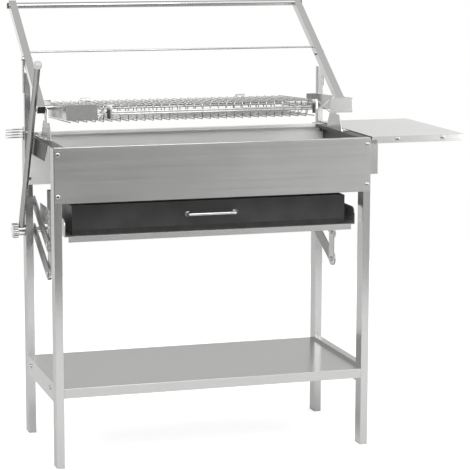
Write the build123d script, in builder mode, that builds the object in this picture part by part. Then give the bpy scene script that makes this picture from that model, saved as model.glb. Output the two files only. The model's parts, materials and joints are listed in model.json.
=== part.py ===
from build123d import *
import math
import os

# Charcoal spit roaster with a lever-lifted coal tray, a basket on a lift frame and a folding side shelf.
# Millimetres. X runs across the roaster, -Y is its front, +Z is up, and the origin is on the floor.

os.makedirs("parts", exist_ok=True)

# ---------- driving sizes: stand ----------
frame_width = 840
frame_depth = 408
tube_wide = 20
tube_deep = 40
tube_wall = 1.5
rim_height = 822
sheet = 1.5
foot_thick = 4
plug_depth = 15
panel_height = 141
panel_inset = 2
rim_flange = 14
rim_return = 8
bottom_hem = 10
side_panel_height = 47
side_flange = 29
side_edge_top = 33
side_edge_low = 76
spit_hole_radius = 5
spit_hole_y = -49
spit_slot_y = -95
spit_slot_wide = 8
spit_slot_deep = 13
shelf_height = 208
shelf_lip = 25
rail_height = 50
rail_rise = 9
shelf_screw_offset = 125
screw_radius = 3
screw_head_radius = 6
screw_head_height = 3
screw_drop = 18

# ---------- driving sizes: lift frame and its posts ----------
post_size = 16
post_top = 979
post_sunk = 120
axle_y = 4
axle_z = 902
axle_radius = 6
axle_nut = 3.5
lean = 33.6
pivot_reach = 204
handle_reach = 440
bar_size = 20
bar_wall = 1.5
bar_x = 408
bar_foot = 9
bar_head = 11
bar_plug = 2.5
spreader_reach = 233
spreader_radius = 2.5
handle_radius = 8
handle_overhang = 1.5
pivot_radius = 3
pivot_nut = 3
hinge_plate_thick = 2.5
hinge_plate_foot = 54
cradle_thick = 3
cradle_base = 120
cradle_shoulder = 70
cradle_shoulder_height = 43
cradle_riser = 34
cradle_lip = 3

# ---------- driving sizes: basket ----------
basket_shift = 8
basket_tilt = 2.8
carrier_length = 764
carrier_depth = 304
carrier_height = 38
carrier_thick = 3
front_arm_left = 80
front_arm_right = 63
rear_arm = 24
basket_end_left = 9
basket_end_right = 105
mesh_pitch = 22
row_spacing = 50
wire = 3
rim_wire = 5
tray_deep = 22
lid_deep = 21
lid_inset = 1.5
clip_wide = 14
brace_reach_left = 24
brace_reach_right = 35
knuckle_radius = 4
knuckle_pin_radius = 2
knuckle_length = 12
knuckle_offset = 7

# ---------- driving sizes: coal lift ----------
shaft_y = 184
shaft_z = 556
shaft_radius = 8
arm_length = 200
arm_drop = 26
arm_spacing = 75
arm_width = 35
arm_thick = 4
arm_pin_radius = 4
bush_radius = 11
bush_flange_radius = 15
bush_flange = 2
tray_half = 388
tray_front = -176
tray_rear = 132
tray_floor_top = 593
tray_lip = 15
tray_lip_half = 378
tray_wall = 45
tray_corner = 20
hanger_thick = 3
hanger_bolt_gap = 20
lever_radius = 8
lever_length = 539
lever_lean = 29.4
lever_cap_radius = 10.5
lever_cap_height = 15
hub_radius = 14
knob_radius = 21
knob_lobes = 6
knob_thick = 15
pan_half = 365
pan_front_y = -158
pan_depth = 308
pan_height = 75
pan_wall = 1.5
seam = 0.05
pan_face_height = 62
pull_spacing = 128
pull_reach = 22
pull_radius = 4
pull_foot_radius = 8
pull_drop = 32

# ---------- driving sizes: side shelf and pegs ----------
side_shelf_length = 260
side_shelf_thick = 18
side_shelf_gap = 4
hinge_inset = 6
hinge_drop = 12.5
hinge_radius = 4
bracket_height = 95
bracket_flange = 30
bracket_thick = 2
peg_length = 46
peg_radius = 2
peg_count = 4
peg_pitch = 7
peg_plate = 12

# ---------- clearances ----------
slip = 0.05
gap = 0.3

# ---------- places worked out from the sizes ----------
half_width = frame_width / 2
inner_x = half_width - tube_wide
leg_x = half_width - tube_wide / 2
front_y = -frame_depth / 2
rear_y = frame_depth / 2
front_leg_back = front_y + tube_deep
rear_leg_front = rear_y - tube_deep
leg_top = rim_height - sheet
panel_bottom = rim_height - panel_height
rim_inner_x = half_width - side_flange
rim_inner_y = rear_leg_front - sheet - rim_flange
post_front = rear_leg_front + tube_wall + gap
bar_inner = bar_x - bar_size / 2
bar_outer = bar_x + bar_size / 2
lean_cos = math.cos(math.radians(lean))
lean_sin = math.sin(math.radians(lean))
pivot_y = axle_y + pivot_reach * lean_cos
pivot_z = axle_z + pivot_reach * lean_sin
spreader_y = axle_y + spreader_reach * lean_cos
spreader_z = axle_z + spreader_reach * lean_sin
grip_y = axle_y + handle_reach * lean_cos
grip_z = axle_z + handle_reach * lean_sin
drop_cos = math.cos(math.radians(arm_drop))
drop_sin = math.sin(math.radians(arm_drop))
pin_y = shaft_y - arm_length * drop_cos
pin_z = shaft_z - arm_length * drop_sin
upper_arm_z = shaft_z + arm_spacing
hanger_outer = tray_half + hanger_thick
arm_inner = hanger_outer + gap
arm_outer = arm_inner + arm_thick
lever_x = half_width + bush_flange + gap + lever_radius
carrier_half = carrier_length / 2
carrier_front = axle_y - carrier_depth / 2
carrier_rear = axle_y + carrier_depth / 2
carrier_low = axle_z - carrier_height / 2
mesh_left = basket_end_left - carrier_half
mesh_right = carrier_half - basket_end_right
mesh_length = mesh_right - mesh_left
mesh_front = carrier_front + carrier_thick
mesh_rear = carrier_rear - carrier_thick
mesh_mid = carrier_low + 15
tilt_sin = math.sin(math.radians(basket_tilt))
tilt_cos = math.cos(math.radians(basket_tilt))
axle_in_carrier_y = carrier_front + (axle_y - carrier_front) * tilt_cos
axle_in_carrier_z = axle_z + (axle_y - carrier_front) * tilt_sin
lid_hinge_y = mesh_rear + knuckle_offset
shelf_hinge_x = half_width + side_shelf_gap + hinge_inset
shelf_top = rim_height + sheet
shelf_hinge_z = shelf_top - hinge_drop
pan_floor = tray_floor_top
pan_top = pan_floor + pan_height


def fill(x, y, z, mode=Mode.ADD):
    """A block that fills the ranges x, y and z."""
    with Locations(((x[0] + x[1]) / 2, (y[0] + y[1]) / 2, (z[0] + z[1]) / 2)):
        Box(abs(x[1] - x[0]), abs(y[1] - y[0]), abs(z[1] - z[0]), mode=mode)


def x_rod(radius, x, y, z, mode=Mode.ADD):
    """A round bar along X, over the range x."""
    with Locations(((x[0] + x[1]) / 2, y, z)):
        Cylinder(radius, abs(x[1] - x[0]), rotation=(0, 90, 0), mode=mode)


def y_rod(radius, x, y, z, mode=Mode.ADD):
    """A round bar along Y, over the range y."""
    with Locations((x, (y[0] + y[1]) / 2, z)):
        Cylinder(radius, abs(y[1] - y[0]), rotation=(90, 0, 0), mode=mode)


def x_hex(radius, x, y, z, mode=Mode.ADD):
    """A hexagon nut along X, over the range x."""
    with BuildSketch(Plane(origin=(min(x), y, z), x_dir=(0, 1, 0), z_dir=(1, 0, 0))) as flats:
        RegularPolygon(radius, 6)
    extrude(flats.sketch, amount=abs(x[1] - x[0]), mode=mode)


def write(piece, label):
    """Name a finished piece and write its file."""
    piece.label = label
    export_step(piece, "parts/" + label + ".step")


def write_hung(piece, label):
    """Write a piece of the basket where it hangs: a little to the right, and tipped down at the rear."""
    front_line = Pos(basket_shift, carrier_front, axle_z)
    write(front_line * Rot(X=-basket_tilt) * Pos(0, -carrier_front, -axle_z) * piece, label)


def side_name(side):
    """The word for the side of the roaster that has this sign."""
    return "left" if side < 0 else "right"


# ---------- legs and feet ----------
def make_leg(side, rear):
    low_y = rear_leg_front if rear else front_y
    x = (side * inner_x, side * half_width)
    y = (low_y, low_y + tube_deep)
    with BuildPart() as leg:
        fill(x, y, (foot_thick, leg_top))
        hollow_x = (side * (inner_x + tube_wall), side * (half_width - tube_wall))
        fill(hollow_x, (y[0] + tube_wall, y[1] - tube_wall), (foot_thick, leg_top), mode=Mode.SUBTRACT)
        for drop in (screw_drop, panel_height - screw_drop):
            hole = (y[0] - 1, y[0] + tube_wall + 1)
            y_rod(screw_radius + slip, side * leg_x, hole, rim_height - drop, mode=Mode.SUBTRACT)
        if rear:
            bore = (side * (inner_x - 1), side * (half_width + 1))
            x_rod(bush_radius + slip, bore, shaft_y, shaft_z, mode=Mode.SUBTRACT)
            x_rod(arm_pin_radius + slip, bore, shaft_y, upper_arm_z, mode=Mode.SUBTRACT)
    name = "leg_" + ("rear_" if rear else "front_") + side_name(side)
    write(leg.part, name)


for leg_side in (-1, 1):
    for leg_is_rear in (False, True):
        make_leg(leg_side, leg_is_rear)

with BuildPart() as foot_caps:
    for cap_side in (-1, 1):
        for cap_y in (front_y + tube_deep / 2, rear_leg_front + tube_deep / 2):
            with Locations((cap_side * leg_x, cap_y, foot_thick / 2)):
                Box(tube_wide, tube_deep, foot_thick)
            with Locations((cap_side * leg_x, cap_y, foot_thick + plug_depth / 2)):
                plug_wide = tube_wide - 2 * tube_wall - 2 * slip
                plug_long = tube_deep - 2 * tube_wall - 2 * slip
                Box(plug_wide, plug_long, plug_depth)
write(foot_caps.part, "foot_caps")


# ---------- bottom shelf and its rails ----------
rail_bottom = shelf_height + rail_rise - rail_height
shelf_screw_z = shelf_height - shelf_lip / 2


def make_rail(side):
    x = (side * inner_x, side * half_width)
    with BuildPart() as rail:
        fill(x, (front_leg_back, rear_leg_front), (rail_bottom, rail_bottom + rail_height))
        hollow_x = (side * (inner_x + tube_wall), side * (half_width - tube_wall))
        hollow_z = (rail_bottom + tube_wall, rail_bottom + rail_height - tube_wall)
        fill(hollow_x, (front_leg_back, rear_leg_front), hollow_z, mode=Mode.SUBTRACT)
        for y in (-shelf_screw_offset, shelf_screw_offset):
            bore = (side * (inner_x - 1), side * (half_width + 1))
            x_rod(screw_radius + slip, bore, y, shelf_screw_z, mode=Mode.SUBTRACT)
    write(rail.part, "shelf_rail_" + side_name(side))


make_rail(-1)
make_rail(1)

with BuildPart() as bottom_shelf:
    fill((-inner_x, inner_x), (front_y, rear_y), (shelf_height - shelf_lip, shelf_height))
    shelf_hollow_x = (-inner_x + sheet, inner_x - sheet)
    shelf_hollow_y = (front_y + sheet, rear_y - sheet)
    fill(shelf_hollow_x, shelf_hollow_y, (0, shelf_height - sheet), mode=Mode.SUBTRACT)
    for shelf_y in (-shelf_screw_offset, shelf_screw_offset):
        x_rod(screw_radius + slip, (-half_width, half_width), shelf_y, shelf_screw_z, mode=Mode.SUBTRACT)
write(bottom_shelf.part, "bottom_shelf")

with BuildPart() as shelf_screws:
    for screw_side in (-1, 1):
        for shelf_y in (-shelf_screw_offset, shelf_screw_offset):
            shank = (screw_side * (inner_x - 6), screw_side * half_width)
            x_rod(screw_radius, shank, shelf_y, shelf_screw_z)
            head = (screw_side * half_width, screw_side * (half_width + screw_head_height))
            x_rod(screw_head_radius, head, shelf_y, shelf_screw_z)
write(shelf_screws.part, "shelf_screws")


# ---------- trough panels ----------
panel_half = half_width - panel_inset

with BuildPart() as front_panel:
    fill((-panel_half, panel_half), (front_y - sheet, front_y), (panel_bottom, rim_height))
    front_flange_y = front_y - sheet + rim_flange
    fill((-panel_half, panel_half), (front_y - sheet, front_flange_y), (leg_top, rim_height))
    between_legs = (-inner_x + gap, inner_x - gap)
    return_z = (rim_height - rim_return, rim_height)
    fill(between_legs, (front_flange_y - sheet, front_flange_y), return_z)
    fill(between_legs, (front_y, front_y + sheet), (panel_bottom, panel_bottom + bottom_hem))
    for panel_x in (-leg_x, leg_x):
        for drop in (screw_drop, panel_height - screw_drop):
            hole_y = (front_y - sheet - 1, front_y + 1)
            y_rod(screw_radius + slip, panel_x, hole_y, rim_height - drop, mode=Mode.SUBTRACT)
    outer_bend = front_panel.edges().filter_by(Axis.X).group_by(Axis.Z)[-1].sort_by(Axis.Y)[0]
    fillet(outer_bend, sheet * 0.9)
write(front_panel.part, "front_panel")

with BuildPart() as rear_panel:
    rear_panel_y = (rear_leg_front - sheet, rear_leg_front)
    fill((-panel_half, panel_half), rear_panel_y, (panel_bottom, rim_height))
    fill((-panel_half, panel_half), (rim_inner_y, rear_leg_front), (leg_top, rim_height))
    fill((-panel_half, panel_half), (rim_inner_y, rim_inner_y + sheet), (rim_height - rim_return, rim_height))
    for panel_x in (-leg_x, leg_x):
        for drop in (screw_drop, panel_height - screw_drop):
            hole_y = (rear_leg_front - sheet - 1, rear_leg_front + 1)
            y_rod(screw_radius + slip, panel_x, hole_y, rim_height - drop, mode=Mode.SUBTRACT)
    side_cut_z = (rim_height - side_panel_height, rim_height)
    for cut_side in (-1, 1):
        cut_x = (cut_side * (half_width - sheet - gap), cut_side * half_width)
        fill(cut_x, (rim_inner_y - 1, rear_leg_front + 1), side_cut_z, mode=Mode.SUBTRACT)
write(rear_panel.part, "rear_panel")


def make_side_panel(side):
    low_z = rim_height - side_panel_height
    with BuildPart() as panel:
        plate_x = (side * (half_width - sheet), side * half_width)
        fill(plate_x, (front_leg_back, rear_leg_front), (low_z, rim_height))
        flange_y = (front_y - sheet + rim_flange, rim_inner_y)
        flange_x = (side * rim_inner_x, side * half_width)
        fill(flange_x, flange_y, (leg_top, rim_height))
        return_x = (side * rim_inner_x, side * (rim_inner_x + sheet))
        fill(return_x, flange_y, (rim_height - rim_return, rim_height))
        plate_side = Plane(origin=(side * half_width, 0, 0), x_dir=(0, 1, 0), z_dir=(1, 0, 0))
        with BuildSketch(plate_side) as corner:
            with BuildLine():
                Polyline(
                    (front_leg_back, low_z),
                    (front_leg_back + side_edge_low, low_z),
                    (front_leg_back + side_edge_top, leg_top),
                    (front_leg_back, leg_top),
                    close=True,
                )
            make_face()
        extrude(corner.sketch, amount=sheet, both=True, mode=Mode.SUBTRACT)
        bore = (side * (half_width - sheet - 1), side * (half_width + 1))
        x_rod(spit_hole_radius, bore, spit_hole_y, leg_top - spit_hole_radius - 1, mode=Mode.SUBTRACT)
        slot_y = (spit_slot_y - spit_slot_wide / 2, spit_slot_y + spit_slot_wide / 2)
        fill(bore, slot_y, (leg_top - spit_slot_deep, leg_top), mode=Mode.SUBTRACT)
        x_rod(spit_slot_wide / 2, bore, spit_slot_y, leg_top - spit_slot_deep, mode=Mode.SUBTRACT)
    write(panel.part, "side_panel_" + side_name(side))


make_side_panel(-1)
make_side_panel(1)

with BuildPart() as panel_screws:
    for panel_x in (-leg_x, leg_x):
        for drop in (screw_drop, panel_height - screw_drop):
            screw_z = rim_height - drop
            front_head = (front_y - sheet - screw_head_height, front_y - sheet)
            y_rod(screw_head_radius, panel_x, front_head, screw_z)
            y_rod(screw_radius, panel_x, (front_y - sheet, front_y + tube_wall + 4), screw_z)
            inner = rear_leg_front - sheet
            y_rod(screw_head_radius, panel_x, (inner - screw_head_height, inner), screw_z)
            y_rod(screw_radius, panel_x, (inner, rear_leg_front + tube_wall), screw_z)
write(panel_screws.part, "panel_screws")


# ---------- rear posts, hinge plates and pivot bolts ----------
hinge_plate_inner = bar_outer + gap
hinge_plate_outer = hinge_plate_inner + hinge_plate_thick
post_inner = leg_x - post_size / 2
post_outer = post_inner + post_size


def make_post(side):
    with BuildPart() as post:
        x = (side * post_inner, side * post_outer)
        fill(x, (post_front, post_front + post_size), (leg_top - post_sunk, post_top))
        hollow_x = (side * (post_inner + tube_wall), side * (post_outer - tube_wall))
        hollow_y = (post_front + tube_wall, post_front + post_size - tube_wall)
        fill(hollow_x, hollow_y, (0, post_top - tube_wall), mode=Mode.SUBTRACT)
        relief = (rear_leg_front, post_front + 3)
        for drop in (screw_drop, panel_height - screw_drop):
            y_rod(screw_radius + gap, side * leg_x, relief, rim_height - drop, mode=Mode.SUBTRACT)
    write(post.part, "rear_post_" + side_name(side))


def make_hinge_plate(side):
    plate_low = post_top - hinge_plate_foot
    x0 = side * hinge_plate_inner
    x1 = side * hinge_plate_outer
    with BuildPart() as plate:
        fill((x0, x1), (post_front, post_front + post_size), (plate_low, pivot_z))
        x_rod(post_size / 2, (x0, x1), pivot_y, pivot_z)
        fill((side * post_outer, x0), (post_front, post_front + post_size), (plate_low, post_top - 4))
        reach = (side * (hinge_plate_inner - 1), side * (hinge_plate_outer + 1))
        x_rod(pivot_radius + slip, reach, pivot_y, pivot_z, mode=Mode.SUBTRACT)
    write(plate.part, "hinge_plate_" + side_name(side))


for post_side in (-1, 1):
    make_post(post_side)
    make_hinge_plate(post_side)

with BuildPart() as pivot_bolts:
    for bolt_side in (-1, 1):
        head_x = (bolt_side * (bar_inner - gap - pivot_nut), bolt_side * (bar_inner - gap))
        nut_x = (bolt_side * hinge_plate_outer, bolt_side * (hinge_plate_outer + pivot_nut))
        x_rod(pivot_radius, (head_x[0], nut_x[1]), pivot_y, pivot_z)
        x_hex(pivot_radius * 1.8, head_x, pivot_y, pivot_z)
        x_hex(pivot_radius * 1.8, nut_x, pivot_y, pivot_z)
write(pivot_bolts.part, "pivot_bolts")


# ---------- cradles that hold the basket's axle ----------
cradle_inner = rim_inner_x + sheet


def make_cradle(side):
    x0 = side * cradle_inner if side > 0 else -cradle_inner - cradle_thick
    with BuildPart() as cradle:
        with BuildSketch(Plane(origin=(x0, axle_y, rim_height), x_dir=(0, 1, 0), z_dir=(1, 0, 0))):
            with BuildLine():
                half_base = cradle_base / 2
                half_shoulder = cradle_shoulder / 2
                half_riser = cradle_riser / 2
                top = axle_z - cradle_lip - rim_height
                Polyline(
                    (-half_base, 0),
                    (half_base, 0),
                    (half_shoulder, cradle_shoulder_height),
                    (half_riser, cradle_shoulder_height),
                    (half_riser, top),
                    (-half_riser, top),
                    (-half_riser, cradle_shoulder_height),
                    (-half_shoulder, cradle_shoulder_height),
                    close=True,
                )
            make_face()
            with Locations((0, axle_z - rim_height)):
                Circle(axle_radius + gap, mode=Mode.SUBTRACT)
        extrude(amount=cradle_thick)
        foot_x = (side * (cradle_inner + cradle_thick), side * (half_width - 8))
        foot_y = (axle_y - cradle_base / 2, axle_y + cradle_base / 2)
        fill(foot_x, foot_y, (rim_height, rim_height + cradle_thick))
        for y in (axle_y - cradle_base / 3, axle_y + cradle_base / 3):
            with Locations((side * (half_width - 16), y, rim_height + cradle_thick)):
                Hole(screw_radius + slip, depth=cradle_thick * 2)
    write(cradle.part, "cradle_" + side_name(side))


make_cradle(-1)
make_cradle(1)

with BuildPart() as cradle_screws:
    for cradle_side in (-1, 1):
        for screw_y in (axle_y - cradle_base / 3, axle_y + cradle_base / 3):
            with Locations((cradle_side * (half_width - 16), screw_y, rim_height + cradle_thick / 2)):
                Cylinder(screw_radius, cradle_thick)
            head_z = rim_height + cradle_thick + screw_head_height / 2
            with Locations((cradle_side * (half_width - 16), screw_y, head_z)):
                Cylinder(screw_head_radius, screw_head_height)
write(cradle_screws.part, "cradle_screws")

# ---------- pegs for tools on the rear left leg ----------
with BuildPart() as tool_pegs:
    peg_low = leg_top - peg_pitch * 2
    peg_plate_x = (-half_width - sheet, -half_width)
    peg_plate_z = (peg_low - peg_pitch, peg_low + peg_pitch * peg_count)
    fill(peg_plate_x, (shaft_y - peg_plate / 2, shaft_y + peg_plate / 2), peg_plate_z)
    for peg in range(peg_count):
        x_rod(peg_radius, (-half_width - sheet - peg_length, -half_width), shaft_y, peg_low + peg * peg_pitch)
write(tool_pegs.part, "tool_pegs")

# ---------- lift frame ----------
lean_axis = Vector(0, lean_cos, lean_sin)


def make_bar(side):
    start = Vector(side * bar_x, axle_y, axle_z) - lean_axis * bar_foot
    with BuildPart() as bar:
        with BuildSketch(Plane(origin=start, x_dir=(1, 0, 0), z_dir=lean_axis)):
            Rectangle(bar_size, bar_size)
            Rectangle(bar_size - 2 * bar_wall, bar_size - 2 * bar_wall, mode=Mode.SUBTRACT)
        extrude(amount=bar_foot + handle_reach + bar_head)
        bore = (side * (bar_inner - 1), side * (bar_outer + 1))
        x_rod(axle_radius + slip, bore, axle_y, axle_z, mode=Mode.SUBTRACT)
        x_rod(pivot_radius + slip, bore, pivot_y, pivot_z, mode=Mode.SUBTRACT)
        x_rod(handle_radius + slip, bore, grip_y, grip_z, mode=Mode.SUBTRACT)
    write(bar.part, "frame_bar_" + side_name(side))


make_bar(-1)
make_bar(1)

grip_half = bar_outer + handle_overhang

with BuildPart() as frame_handle:
    x_rod(handle_radius, (-grip_half, grip_half), grip_y, grip_z)
    x_rod(handle_radius - bar_wall, (-grip_half, grip_half), grip_y, grip_z, mode=Mode.SUBTRACT)
    x_rod(spreader_radius, (-bar_inner, bar_inner), spreader_y, spreader_z)
write(frame_handle.part, "frame_handle")

with BuildPart() as handle_plugs:
    for plug_side in (-1, 1):
        x_rod(handle_radius, (plug_side * grip_half, plug_side * (grip_half + 3)), grip_y, grip_z)
        plug_x = (plug_side * (grip_half - 12), plug_side * grip_half)
        x_rod(handle_radius - bar_wall - slip, plug_x, grip_y, grip_z)
        bar_end = Vector(plug_side * bar_x, axle_y, axle_z) - lean_axis * bar_foot
        with BuildSketch(Plane(origin=bar_end, x_dir=(1, 0, 0), z_dir=lean_axis)) as bar_end_face:
            Rectangle(bar_size, bar_size)
        extrude(bar_end_face.sketch, amount=-bar_plug)
        with BuildSketch(Plane(origin=bar_end, x_dir=(1, 0, 0), z_dir=lean_axis)) as bar_end_hole:
            Rectangle(bar_size - 2 * bar_wall - 2 * slip, bar_size - 2 * bar_wall - 2 * slip)
        extrude(bar_end_hole.sketch, amount=2)
write(handle_plugs.part, "handle_plugs")


# ---------- basket carriers and axles ----------
def make_carrier(side):
    outer = side * carrier_half
    inner = side * (carrier_half - carrier_thick)
    z = (carrier_low, carrier_low + carrier_height)
    with BuildPart() as carrier:
        fill((inner, outer), (carrier_front, carrier_rear), z)
        front_arm = front_arm_left if side < 0 else front_arm_right
        front_x = (side * (carrier_half - front_arm), outer)
        fill(front_x, (carrier_front, carrier_front + carrier_thick), z)
        rear_x = (side * (carrier_half - rear_arm), outer)
        fill(rear_x, (carrier_rear - carrier_thick, carrier_rear), z)
        for edge_y in (carrier_front, carrier_rear):
            corner = carrier.edges().filter_by(Axis.Z).sort_by_distance((outer, edge_y, axle_z))[0]
            fillet(corner, carrier_thick * 0.9)
        bore = (side * (carrier_half - carrier_thick - 1), side * (carrier_half + 1))
        x_rod(axle_radius + slip, bore, axle_in_carrier_y, axle_in_carrier_z, mode=Mode.SUBTRACT)
    write_hung(carrier.part, "carrier_" + side_name(side))


make_carrier(-1)
make_carrier(1)

axle_end = bar_outer + gap + axle_nut

with BuildPart() as basket_axles:
    for axle_side in (-1, 1):
        inner_face = basket_shift + axle_side * (carrier_half - carrier_thick)
        x_rod(axle_radius, (inner_face, axle_side * axle_end), axle_y, axle_z)
        x_hex(axle_radius * 1.7, (inner_face - axle_side * axle_nut, inner_face), axle_y, axle_z)
        x_hex(axle_radius * 1.7, (axle_side * (axle_end - axle_nut), axle_side * axle_end), axle_y, axle_z)
write(basket_axles.part, "basket_axles")

# ---------- basket mesh ----------
mesh_columns = round(mesh_length / mesh_pitch)
column_pitch = (mesh_length - wire) / mesh_columns
mesh_rows = round((mesh_rear - mesh_front) / row_spacing)
floor_z = mesh_mid - tray_deep
lid_top = mesh_mid + lid_deep
lid_hinge_z = lid_top + 1
tray_y = (mesh_front, mesh_rear)
lid_y = (mesh_front + lid_inset, mesh_rear - lid_inset)


def across(middle, thickness):
    """The range that a wire takes about its middle."""
    return (middle - thickness / 2, middle + thickness / 2)


def column_x(i):
    """The middle of cross wire i."""
    return mesh_left + wire / 2 + i * column_pitch


def row_y(i, edges):
    """The middle of long wire i of a mesh between two edges."""
    return edges[0] + (edges[1] - edges[0]) * i / mesh_rows


def make_grille(label, edges, cross_z, long_z):
    """A flat welded mesh: close cross wires from edge to edge, and a few long wires on their inner side."""
    with BuildPart() as grille:
        for i in range(1, mesh_rows):
            fill((mesh_left, mesh_right), across(row_y(i, edges), wire), long_z)
        for i in range(mesh_columns + 1):
            fill(across(column_x(i), wire), edges, cross_z)
    write_hung(grille.part, label)


def add_walls(edges, cross_z, long_z, rim_z, rim_x):
    """Four wire ladders: uprights on the cross wires and on the long wires, under or over a thick rim."""
    for y in ((edges[0], edges[0] + rim_wire), (edges[1] - rim_wire, edges[1])):
        fill(rim_x, y, rim_z)
        for i in range(1, mesh_columns):
            fill(across(column_x(i), wire), across((y[0] + y[1]) / 2, wire), cross_z)
    for x in ((mesh_left, mesh_left + rim_wire), (mesh_right - rim_wire, mesh_right)):
        fill(x, (edges[0] + rim_wire + gap, edges[1] - rim_wire - gap), rim_z)
        for i in range(1, mesh_rows):
            fill(across((x[0] + x[1]) / 2, wire), across(row_y(i, edges), wire), long_z)


def add_knuckles(places, tab_y, tab_z):
    """Hinge knuckles behind the rear wall, each on a short tab."""
    for x in places:
        reach = across(x, knuckle_length)
        x_rod(knuckle_radius, reach, lid_hinge_y, lid_hinge_z)
        fill(reach, tab_y, tab_z)
        x_rod(knuckle_pin_radius + slip, reach, lid_hinge_y, lid_hinge_z, mode=Mode.SUBTRACT)


def add_brace(side, front_arm, reach):
    """A clip on the front rim, and the two crossed wires between it and the carrier's arm."""
    arm_end = side * (carrier_half - front_arm - gap)
    clip_near = arm_end - side * reach
    y = (carrier_front, mesh_front)
    clip_z = (carrier_low + 1, carrier_low + carrier_height - 1)
    fill((clip_near, clip_near - side * clip_wide), y, clip_z)
    rise = clip_z[1] - clip_z[0] - 2 * wire
    run = reach + wire
    middle_x = (arm_end + clip_near - side * wire) / 2
    middle = (middle_x, (y[0] + y[1]) / 2, (clip_z[0] + clip_z[1]) / 2)
    turn = math.degrees(math.atan2(rise, run))
    for slope in (-turn, turn):
        with Locations(Location(middle, (0, slope, 0))):
            Box(math.hypot(rise, run) - 2 * wire, wire, wire)


hinge_middle = (mesh_left + mesh_right) / 2
knuckle_centres = (hinge_middle - mesh_length / 3, hinge_middle + mesh_length / 3)
lid_knuckles = [x - knuckle_length / 2 - gap for x in knuckle_centres]
tray_knuckles = [x + knuckle_length / 2 + gap for x in knuckle_centres]

make_grille("basket_floor", tray_y, (floor_z, floor_z + wire), (floor_z + wire, floor_z + 2 * wire))
make_grille("lid_grille", lid_y, (lid_top - wire, lid_top), (lid_top - 2 * wire, lid_top - wire))

with BuildPart() as basket_walls:
    tray_rim_z = (mesh_mid - gap - rim_wire, mesh_mid - gap)
    tray_cross_z = (floor_z + wire, mesh_mid - gap)
    tray_long_z = (floor_z + 2 * wire, mesh_mid - gap)
    rim_reach = (carrier_thick - carrier_half, carrier_half - carrier_thick)
    add_walls(tray_y, tray_cross_z, tray_long_z, tray_rim_z, rim_reach)
    add_knuckles(tray_knuckles, (mesh_rear, mesh_rear + 4), (tray_rim_z[0], lid_hinge_z))
    add_brace(-1, front_arm_left, brace_reach_left)
    add_brace(1, front_arm_right, brace_reach_right)
write_hung(basket_walls.part, "basket_walls")

with BuildPart() as lid_walls:
    lid_rim_z = (mesh_mid + gap, mesh_mid + gap + rim_wire)
    lid_cross_z = (mesh_mid + gap, lid_top - wire)
    lid_long_z = (mesh_mid + gap, lid_top - 2 * wire)
    add_walls(lid_y, lid_cross_z, lid_long_z, lid_rim_z, (mesh_left, mesh_right))
    add_knuckles(lid_knuckles, (lid_y[1], mesh_rear + 4), (lid_rim_z[0] + 1, lid_hinge_z))
write_hung(lid_walls.part, "lid_walls")

with BuildPart() as lid_hinge_pins:
    for centre in knuckle_centres:
        pin_reach = (centre - knuckle_length - 2, centre + knuckle_length + 2)
        x_rod(knuckle_pin_radius, pin_reach, lid_hinge_y, lid_hinge_z)
write_hung(lid_hinge_pins.part, "lid_hinge_pins")

# ---------- cross shaft, arms, lever and knob ----------
shaft_left = lever_x + lever_radius + 12
shaft_right = half_width + bush_flange + 1

with BuildPart() as shaft_bushes:
    for bush_side in (-1, 1):
        bush_x = (bush_side * (inner_x - bush_flange), bush_side * (half_width + bush_flange))
        x_rod(bush_radius, bush_x, shaft_y, shaft_z)
        for flange_at in (inner_x - bush_flange, half_width):
            flange_x = (bush_side * flange_at, bush_side * (flange_at + bush_flange))
            x_rod(bush_flange_radius, flange_x, shaft_y, shaft_z)
        x_rod(shaft_radius + slip, bush_x, shaft_y, shaft_z, mode=Mode.SUBTRACT)
write(shaft_bushes.part, "shaft_bushes")

with BuildPart() as cross_shaft:
    x_rod(shaft_radius, (-shaft_left, shaft_right), shaft_y, shaft_z)
write(cross_shaft.part, "cross_shaft")


def make_arm(side, pivot_height, pivot_hole, label):
    x0 = arm_inner if side > 0 else -arm_outer
    plane = Plane(origin=(x0, shaft_y, pivot_height), x_dir=(0, 1, 0), z_dir=(1, 0, 0))
    end = (pin_y - shaft_y, pin_z - shaft_z)
    with BuildPart() as arm:
        with BuildSketch(plane):
            with Locations((end[0] / 2, end[1] / 2)):
                SlotCenterToCenter(arm_length, arm_width, rotation=arm_drop)
            Circle(pivot_hole, mode=Mode.SUBTRACT)
            with Locations(end):
                Circle(arm_pin_radius + slip, mode=Mode.SUBTRACT)
        extrude(amount=arm_thick)
    write(arm.part, label + side_name(side))


for arm_side in (-1, 1):
    make_arm(arm_side, shaft_z, shaft_radius + slip, "lower_arm_")
    make_arm(arm_side, upper_arm_z, arm_pin_radius + slip, "upper_arm_")

with BuildPart() as arm_pivot_bolts:
    for bolt_side in (-1, 1):
        bolt_x = (bolt_side * (arm_inner - gap), bolt_side * half_width)
        x_rod(arm_pin_radius, bolt_x, shaft_y, upper_arm_z)
        spacer_x = (bolt_side * (arm_outer + gap), bolt_side * inner_x)
        x_rod(arm_pin_radius * 2, spacer_x, shaft_y, upper_arm_z)
        head_x = (bolt_side * half_width, bolt_side * (half_width + 2))
        x_rod(screw_head_radius, head_x, shaft_y, upper_arm_z)
        stop_x = (bolt_side * (arm_inner - gap - 2), bolt_side * (arm_inner - gap))
        x_rod(arm_pin_radius * 1.6, stop_x, shaft_y, upper_arm_z)
write(arm_pivot_bolts.part, "arm_pivot_bolts")

lever_cos = math.cos(math.radians(lever_lean))
lever_sin = math.sin(math.radians(lever_lean))
lever_axis = Vector(0, -lever_sin, lever_cos)
lever_foot = Vector(-lever_x, shaft_y, shaft_z)
lever_tube_length = lever_length - lever_cap_height + lever_radius

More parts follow.
